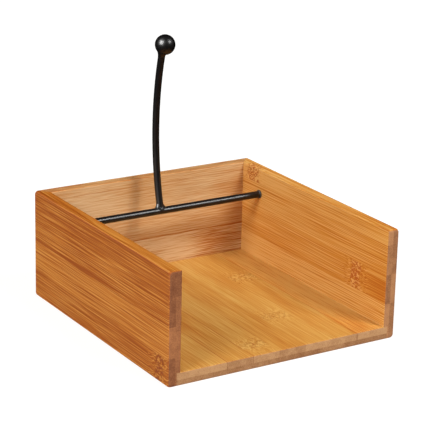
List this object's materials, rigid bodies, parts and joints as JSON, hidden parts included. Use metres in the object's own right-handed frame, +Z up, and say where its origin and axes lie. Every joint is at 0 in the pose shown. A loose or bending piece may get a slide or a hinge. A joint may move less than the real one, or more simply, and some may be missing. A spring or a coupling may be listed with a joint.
{
  "type": "napkin holder",
  "caption": "Open-fronted bamboo napkin tray with a cross rod and a curved black press arm that swings down, its ball holding the stack.",
  "frame": {"origin": "middle of the tray's underside, at the level of the table", "axes": "+X to the right seen from the open front, +Y from the open front to the back wall, +Z up"},
  "size_m": [0.19, 0.202, 0.201],
  "materials": {
    "bamboo_side": "laminated bamboo, caramel, oiled satin, grain along the board",
    "bamboo_back": "laminated bamboo, caramel, oiled satin, grain from side to side",
    "bamboo_floor": "laminated bamboo, golden, oiled satin, grain from front to back",
    "black_steel": "black powder coat, satin",
    "black_nylon": "black nylon, matt"
  },
  "bodies": {
    "tray": {"floor_board": "bamboo_floor", "left_wall": "bamboo_side", "right_wall": "bamboo_side", "back_wall": "bamboo_back", "left_sleeve": "black_nylon", "right_sleeve": "black_nylon"},
    "arm": {"cross_rod": "black_steel", "press_arm": "black_steel", "root_weld": "black_steel", "neck_weld": "black_steel", "ball_weight": "black_steel"}
  },
  "joints": [
    {"name": "arm_swing", "type": "hinge", "parent": "tray", "child": "arm", "pos_m": [0, 0.0669, 0.0635], "axis": [1, 0, 0], "range_deg": [-34, 110.1]}
  ]
}
